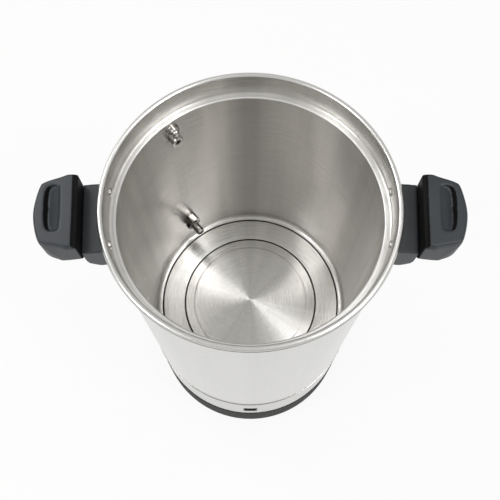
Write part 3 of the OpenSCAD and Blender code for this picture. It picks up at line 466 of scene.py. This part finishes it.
for node in ("inlet_socket", "tap_lever", "control_bezel", "control_knob"):
    moulded(node, 0.4, 3, "black_plastic")
for node in ("wall_washers", "gauge_foot", "gauge_top", "tap_body", "bonnet"):
    machined(node, 0.35, "polished_steel")
machined("shank_locknut", 0.35, "dark_steel")
smooth_skirt = link("smooth_skirt", copied("base_skirt", flat=False))
shade(smooth_skirt.data, 30)
settle(smooth_skirt, "urn", "brushed_steel", "skirt", "base_skirt")

# %% [markdown]
# ## Handles
# Mount and grip are one slate grey plastic with a fine grain. The faces of the grip that look back at the jacket,
# and the outer wall of the thumb pocket, are painted near black as shade, which draws the dark stripe along each
# grip. A grip is also fuller at its two outer corners than its flat faces make it, and drawn in slightly at its
# near end. The joint between mount and grip sits a little further out, so that the collar of the mount shows.

# %% Mounts and grips
# Columns: place along the grip and out from the axis, way along and out, amount, reach
SWELL = [
    ((30, 198), (0.75, 0.66), 3.6, 10),
    ((-30, 196), (-0.75, 0.66), 4.0, 11),
    ((-41, 190), (0.9, 0), 1.6, 6),
]
JOINT_SHIFT = 3.2
MOUNT_JOINT, GRIP_JOINT = (154, 162), (174, 166)  # where the shift starts, and where it is full


def fuller(piece, out, joint):
    """Pushes a piece as SWELL says, and moves its joint face outward."""
    along = Vector((-out.y, out.x, 0)) * (1 if out.x > 0 else -1)
    start, end = joint
    for point in piece.data.vertices:
        u, w = point.co.dot(along) / MM, point.co.dot(out) / MM
        for (at_u, at_w), (way_u, way_w), amount, reach in SWELL:
            share = math.exp(-((u - at_u) ** 2 + (w - at_w) ** 2) / (2 * reach ** 2))
            point.co += (along * way_u + out * way_w) * amount * share * MM
        near = min(1, max(0, (w - start) / (end - start)))
        point.co += out * JOINT_SHIFT * near * near * (3 - 2 * near) * MM


for side, bearing in (("left", 180 + HANDLE_TURN), ("right", -HANDLE_TURN)):
    out = heading(bearing)
    fuller(moulded(side + "_mount", 0.7, 6, "grey_plastic"), out, MOUNT_JOINT)
    grip = moulded(side + "_grip", 0.8, 14, "grey_plastic")
    fuller(grip, out, GRIP_JOINT)
    # Painted shade on the faces that look back at the jacket
    zone(grip, "painted_shade_plastic", lambda at, way: way.dot(out) < -0.42)
print("handles done")

# %% [markdown]
# ## Small fittings on the tank wall
# Four fittings come through the wall, one above the other, in pairs: a ringed stud over a socket-head screw, and a
# hollow hexagonal bolt over the tap's threaded shank. The round ones are turned on a lathe, so they are spun here
# from a profile and laid on the tap side's axis. Their bores and recesses get a dark colour as painted shade.

# %% Turned fittings
STUD, SCREW, BOLT, SHANK = 483, 466.7, 245.3, 229  # heights of the fittings


def laid(height):
    """The matrix that lays a piece spun about Z on the tap side's axis, at a height."""
    side = OUT.cross(UP)
    turn = Matrix((UP, side, OUT)).transposed().to_4x4()
    return Matrix.Translation(UP * height * MM) @ turn


def turned(name, profile, height):
    """A profile of radius and distance from the urn's axis, spun about the fitting's own axis."""
    piece = spun(name, profile, 96)
    piece.data.transform(laid(height))
    return piece


def reach_of(at, height):
    """How far out from the urn's axis a point lies, and how far from a fitting's own axis."""
    out = at.dot(OUT)
    return out, (at - OUT * out - UP * height).length


def in_screw(at, way):
    """Whether a face lies in the socket of the screw."""
    out, off = reach_of(at, SCREW)
    return 125.4 < out < 131 and off < 3.6


def in_bolt(at, way):
    """Whether a face lies in the bore of the bolt."""
    out, off = reach_of(at, BOLT)
    return out > 122.8 and off < 3.6


def in_shank(at, way):
    """Whether a face of the shank lies in its bore, or under its thread and further out."""
    out, off = reach_of(at, SHANK)
    return out > 112.9 or off < 4.2


stud_profile = (
    [(0, 124.3), (1.6, 124.3)] + arc(1.8, 127.0, 2.7, -90, 0, 6) + [(4.5, 128.0), (5.2, 128.0)]
    + arc(5.2, 129.2, 1.2, -90, 0, 4)
    + [(6.4, 130.2), (5.9, 130.5), (5.9, 131.0), (6.4, 131.3), (6.4, 133.1)]
    + [(4, 133.18), (4, 154.5), (0, 154.5)]
)
settle(turned("ringed_stud", stud_profile, STUD), "urn", "polished_steel", "polished_steel", "dome_stud")
# Painted shade: the screw's socket and the bolt's bore take the dark finish
zone(machined("socket_screw", 0.4, "polished_steel"), "groove", in_screw)
zone(machined("port_bolt", 0.5, "polished_steel"), "groove", in_bolt)
shank_profile = (
    [(4, 111), (4.4, 110.2), (5.2, 110.2), (5.7, 110.8), (5.7, 112.4), (5.35, 112.8), (5.35, 126)]
    + [(6, 126.4), (6, 179), (4, 179)]
)
shank = turned("turned_shank", shank_profile, SHANK)
settle(shank, "urn", "polished_steel", "polished_steel", "tap_shank")
# Painted shade: the shank's bore and its core under the thread take the dark finish
zone(shank, "groove", in_shank)

# %% [markdown]
# ## Things that repeat
# Rivets, a thread, ribs, dial marks and a coil follow simple rules. Each is a small node tree with named sizes.
# The result is turned into a plain mesh, so nothing depends on the tree afterwards.

# %% Tools for node trees
def rule(name, sizes):
    """An empty geometry tree with one named number for each size, and a mesh as its result."""
    tree = bpy.data.node_groups.new(name, "GeometryNodeTree")
    for title, value in sizes.items():
        kind = "NodeSocketInt" if isinstance(value, int) else "NodeSocketFloat"
        tree.interface.new_socket(title, in_out="INPUT", socket_type=kind)
    tree.interface.new_socket("Geometry", in_out="OUTPUT", socket_type="NodeSocketGeometry")
    return tree, tree.nodes.new("NodeGroupInput").outputs, tree.nodes.new("NodeGroupOutput")


def maths(tree, operation, a, b=None):
    """A maths node on sockets or plain numbers."""
    node = add(tree, "ShaderNodeMath", operation=operation)
    for slot, value in enumerate((a, b)):
        if isinstance(value, (int, float)):
            node.inputs[slot].default_value = value
        elif value is not None:
            tree.links.new(value, node.inputs[slot])
    return node.outputs[0]


def polar(tree, angle, radius, height=None):
    """The point at an angle and a radius, at height zero where none is given."""
    links = [
        ("X", maths(tree, "MULTIPLY", maths(tree, "COSINE", angle), radius)),
        ("Y", maths(tree, "MULTIPLY", maths(tree, "SINE", angle), radius)),
    ]
    if height is not None:
        links.append(("Z", height))
    return add(tree, "ShaderNodeCombineXYZ", links).outputs[0]


def copies(tree, points, form, aim=None):
    """A node that puts a form on points, turned to an aim where one is given."""
    links = [("Points", points), ("Instance", form)]
    if aim is not None:
        links.append(("Rotation", aim))
    return add(tree, "GeometryNodeInstanceOnPoints", links)


def swept(tree, path, radius, sides):
    """A round wire along a path."""
    ring = add(tree, "GeometryNodeCurvePrimitiveCircle", [("Radius", radius)], Resolution=sides)
    wire = add(tree, "GeometryNodeCurveToMesh", [("Curve", path), ("Profile Curve", ring.outputs[0])])
    wire.inputs["Fill Caps"].default_value = True
    return wire.outputs[0]


def helix(tree, turns, radius, height, steps):
    """A helix of even radius, with a number of steps for each turn."""
    links = [("Rotations", turns), ("Start Radius", radius), ("End Radius", radius), ("Height", height)]
    return add(tree, "GeometryNodeCurveSpiral", links, Resolution=steps).outputs[0]


def grown(name, tree, end, geometry, sizes, material):
    """Ends a tree with real geometry in one finish, and returns what it makes as a plain mesh."""
    real = add(tree, "GeometryNodeRealizeInstances", [("Geometry", geometry)])
    dressed = add(tree, "GeometryNodeSetMaterial", [("Geometry", real.outputs[0])])
    dressed.inputs["Material"].default_value = FINISH[material]
    tree.links.new(dressed.outputs[0], end.inputs["Geometry"])
    piece = link(name, bpy.data.meshes.new(name))
    pattern = piece.modifiers.new("pattern", "NODES")
    pattern.node_group = tree
    for item in tree.interface.items_tree:
        if item.in_out == "INPUT":
            pattern[item.identifier] = sizes[item.name]
    baked(piece)
    shade(piece.data, 35)
    print(name, len(piece.data.polygons), "faces")
    return piece


# %% [markdown]
# Two rivets hold each handle mount to the wall. Their heads are inside the collar and look at the urn's axis. The
# tree places one turned rivet on four points: two for each handle, a fixed angle to either side of the handle's
# middle.

# %% Handle rivets
rivet_profile = (
    [(0, 2.3), (1.6, 2.15)] + arc(2.9, 0.75, 1.35, 75, 0, 5)
    + [(4.6, 0.5), (4.75, 0), (2.4, 0), (2.4, -10), (0, -10)]
)
rivet = spun("one_rivet", rivet_profile, 64)
sizes = {
    "Radius": 143.95 * MM, "Height": 501 * MM, "Handle": math.radians(HANDLE_TURN),
    "Spread": math.radians(11.5), "Count": 4,
}
tree, given, end = rule("rivets", sizes)
number = add(tree, "GeometryNodeInputIndex").outputs[0]
half = maths(tree, "FLOOR", maths(tree, "DIVIDE", number, 2.0))
step = maths(tree, "SUBTRACT", maths(tree, "MULTIPLY", maths(tree, "MODULO", number, 2.0), 2.0), 1.0)
middle = maths(tree, "SUBTRACT", maths(tree, "MULTIPLY", half, math.pi), given["Handle"])
lean = maths(tree, "MULTIPLY", maths(tree, "MULTIPLY", half, 2.0), given["Handle"])
angle = maths(tree, "ADD", maths(tree, "ADD", middle, lean), maths(tree, "MULTIPLY", step, given["Spread"]))
spot = polar(tree, angle, given["Radius"], given["Height"])
inward = polar(tree, angle, -1.0)
spots = add(tree, "GeometryNodePoints", [("Count", given["Count"]), ("Position", spot)])
aim = add(tree, "FunctionNodeAlignRotationToVector", [("Vector", inward)], axis="Z")
source = add(tree, "GeometryNodeObjectInfo")
source.inputs["Object"].default_value = rivet
heads = copies(tree, spots.outputs[0], source.outputs["Geometry"], aim.outputs[0])
rivets = grown("rivets", tree, end, heads.outputs[0], sizes, "polished_steel")
bpy.data.objects.remove(rivet)
settle(rivets, "urn", "polished_steel", "polished_steel", "handle_rivets")

# %% [markdown]
# The end of the tap's shank carries a thread for its locknut. A thread is a helix, so a spiral curve carries a
# thin wire that stands half out of the shank.

# %% Thread on the shank
sizes = {"Core": 5.45 * MM, "Length": 13.0 * MM, "Turns": 10.0, "Wire": 0.5 * MM}
tree, given, end = rule("thread", sizes)
path = helix(tree, given["Turns"], given["Core"], given["Length"], 40)
thread = grown("shank_thread", tree, end, swept(tree, path, given["Wire"], 6), sizes, "polished_steel")
thread.data.transform(laid(SHANK) @ Matrix.Translation(UP * 112.9 * MM))
settle(thread, "urn", "polished_steel", "polished_steel")

# %% [markdown]
# The bonnet is screwed on by hand, so its skirt is ribbed. Ribs stand on a circle of points.

# %% Ribs round the bonnet
VALVE = 193  # distance of the tap's valve from the urn's axis
sizes = {"Radius": 16.45 * MM, "Length": 7.0 * MM, "Rib": 0.55 * MM, "Count": 48}
tree, given, end = rule("ribs", sizes)
ring = add(tree, "GeometryNodeMeshCircle", [("Vertices", given["Count"]), ("Radius", given["Radius"])])
rib_top = maths(tree, "MULTIPLY", given["Rib"], 0.7)
rib_links = [("Radius Top", rib_top), ("Radius Bottom", given["Rib"]), ("Depth", given["Length"])]
rib = add(tree, "GeometryNodeMeshCone", rib_links, Vertices=10)
ribs = copies(tree, ring.outputs[0], rib.outputs[0])
ribbing = grown("bonnet_ribs", tree, end, ribs.outputs[0], sizes, "polished_steel")
ribbing.data.transform(Matrix.Translation(OUT * VALVE * MM + UP * 242.2 * MM))
settle(ribbing, "urn", "polished_steel", "polished_steel")

# %% [markdown]
# The dial has plain moulded marks round the knob, without figures: one short bar for each step of heat.

# %% Marks round the dial
DIAL = 106  # height of the dial's middle
sizes = {"Radius": 22.1 * MM, "Start": math.radians(-135), "Sweep": math.radians(270), "Count": 10}
tree, given, end = rule("marks", sizes)
number = add(tree, "GeometryNodeInputIndex").outputs[0]
share = maths(tree, "DIVIDE", number, maths(tree, "SUBTRACT", given["Count"], 1.0))
angle = maths(tree, "ADD", given["Start"], maths(tree, "MULTIPLY", share, given["Sweep"]))
spot = polar(tree, angle, given["Radius"])
spots = add(tree, "GeometryNodePoints", [("Count", given["Count"]), ("Position", spot)])
aim = add(tree, "FunctionNodeAlignRotationToVector", [("Vector", spot)], axis="X")
bar = add(tree, "GeometryNodeMeshCone", Vertices=4)
bar.inputs["Radius Bottom"].default_value = 0.7 * MM
bar.inputs["Radius Top"].default_value = 0.45 * MM
bar.inputs["Depth"].default_value = 0.5 * MM
marks = copies(tree, spots.outputs[0], bar.outputs[0], aim.outputs[0])
marks.inputs["Scale"].default_value = (1.6, 0.8, 1)
dial = grown("dial_marks", tree, end, marks.outputs[0], sizes, "white_plastic")
dial.data.transform(laid(DIAL) @ Matrix.Translation(UP * 149.7 * MM))
settle(dial, "urn", "white_plastic", "white_plastic")

# %% [markdown]
# The return spring is a coil of round wire between the stem's flange and the bonnet.

# %% Return spring
sizes = {"Radius": 4.5 * MM, "Height": 12.34 * MM, "Turns": 5.0, "Wire": 0.6 * MM}
tree, given, end = rule("coil", sizes)
path = helix(tree, given["Turns"], given["Radius"], given["Height"], 48)
spring = grown("spring_coil", tree, end, swept(tree, path, given["Wire"], 12), sizes, "plain_steel")
spring.data.transform(Matrix.Translation(OUT * VALVE * MM + UP * 231.98 * MM))
settle(spring, "urn", "plain_steel", "plain_steel", "return_spring")
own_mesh(spring)

# %% [markdown]
# ## Stage, light and camera
# The studio is an evenly pale tent with one narrow dark gap at the left. Soft boxes make the bright bands down the
# brushed tank wall, and the wall between two bands stays darker. The floor is white paper: to the camera, and to
# the steel that mirrors it, it is mostly plain white, and the rest of it is lit in the usual way, so the shadow
# stays.

# %% Floor
PLAIN_SHARE = 0.88  # how much of the paper is plain white where it is seen directly or mirrored
ground = spun("ground", [(0, -0.4), (2500, -0.4), (2500, -4), (0, -4)], 64)
paper = grained("white paper", grey(0.86), grey(0.88), 0.9, 200.0, 0.01)
tree = paper.node_tree
rays = add(tree, "ShaderNodeLightPath").outputs
direct = maths(tree, "MAXIMUM", rays["Is Camera Ray"], rays["Is Glossy Ray"])
direct = maths(tree, "MAXIMUM", direct, rays["Is Transmission Ray"])
plain = maths(tree, "MULTIPLY", direct, PLAIN_SHARE)
white = add(tree, "ShaderNodeEmission", Color=(1, 1, 1, 1), Strength=1.0)
lit_paper = tree.nodes["Principled BSDF"].outputs[0]
both = add(tree, "ShaderNodeMixShader", [(0, plain), (1, lit_paper), (2, white.outputs[0])])
tree.links.new(both.outputs[0], tree.nodes["Material Output"].inputs[0])
ground.data.materials.append(paper)

# %% Tent
TENT_SIDE = [(-180, 0.62), (165, 0.55), (165.02, 0.12956), (180, 0.0)]  # bearing and brightness, once round
TENT_TINT = (1, 0.995, 0.97)
TENT_TOP = (0.58, 0.575, 0.56, 1)
TOP_START, TOP_FULL = 0.72, 0.95  # steepness of a view where the top starts, and where it is full
world = bpy.data.worlds.new("tent")
bpy.context.scene.world = world
world.use_nodes = True
tent = world.node_tree
tent.nodes.clear()
way = add(tent, "ShaderNodeSeparateXYZ", [(0, add(tent, "ShaderNodeTexCoord").outputs["Generated"])])
bearing = maths(tent, "ARCTAN2", way.outputs["Y"], way.outputs["X"])
tone = add(tent, "ShaderNodeValToRGB", [("Fac", spread(tent, bearing, 0.0, 1.0, -math.pi, math.pi))])
stops = tone.color_ramp.elements
for angle, level in TENT_SIDE[1:-1]:
    stops.new((angle + 180) / 360)
for stop, (angle, level) in zip(stops, TENT_SIDE):
    stop.color = (*[level * tint for tint in TENT_TINT], 1)
steepness = spread(tent, way.outputs["Z"], 0.0, 1.0, TOP_START, TOP_FULL)
overhead_links = [("Factor", steepness), (6, tone.outputs["Color"])]
overhead = add(tent, "ShaderNodeMix", overhead_links, data_type="RGBA")
overhead.inputs[7].default_value = TENT_TOP
light = add(tent, "ShaderNodeBackground", [("Color", overhead.outputs[2])], Strength=0.98)
tent.links.new(light.outputs[0], add(tent, "ShaderNodeOutputWorld").inputs[0])

# %% Soft boxes
# Columns: name, bearing, angle above the level, width and height in metres, watts
BOXES = [
    ("left_box", 203, 52, (0.5, 0.6), 7.5),
    ("right_box", 330, 52, (0.5, 0.6), 9),
    ("back_box", 144, 52, (0.5, 0.6), 7.2),
    ("top_box", 34, 72, (0.4, 0.4), 2.2),
    ("side_box", 0, 72, (0.5, 0.6), 1.0),
]
BOX_DISTANCE = 1.9  # metres
BOX_AIM = Vector((0, 0, 0.311))  # metres
for name, azimuth, elevation, size, watts in BOXES:
    lamp = bpy.data.lights.new(name, "AREA")
    lamp.shape = "RECTANGLE"
    lamp.size, lamp.size_y = size
    lamp.energy = watts
    holder = bpy.data.objects.new(name, lamp)
    bpy.context.scene.collection.objects.link(holder)
    a, e = math.radians(azimuth), math.radians(elevation)
    box_way = Vector((math.cos(a) * math.cos(e), math.sin(a) * math.cos(e), math.sin(e)))
    holder.location = BOX_AIM + box_way * BOX_DISTANCE
    holder.rotation_euler = box_way.to_track_quat("Z", "Y").to_euler()

# %% Camera
camera = bpy.data.objects.new("camera", bpy.data.cameras.new("camera"))
bpy.context.scene.collection.objects.link(camera)
camera.location = (0, -0.2685, 1.0857)
camera.rotation_euler = (math.radians(25.3), 0, 0)
camera.data.sensor_width = 36
camera.data.lens = 45.98
camera.data.shift_x = -0.0006
camera.data.shift_y = -0.1
bpy.context.scene.camera = camera
bpy.context.scene.view_settings.view_transform = "Standard"
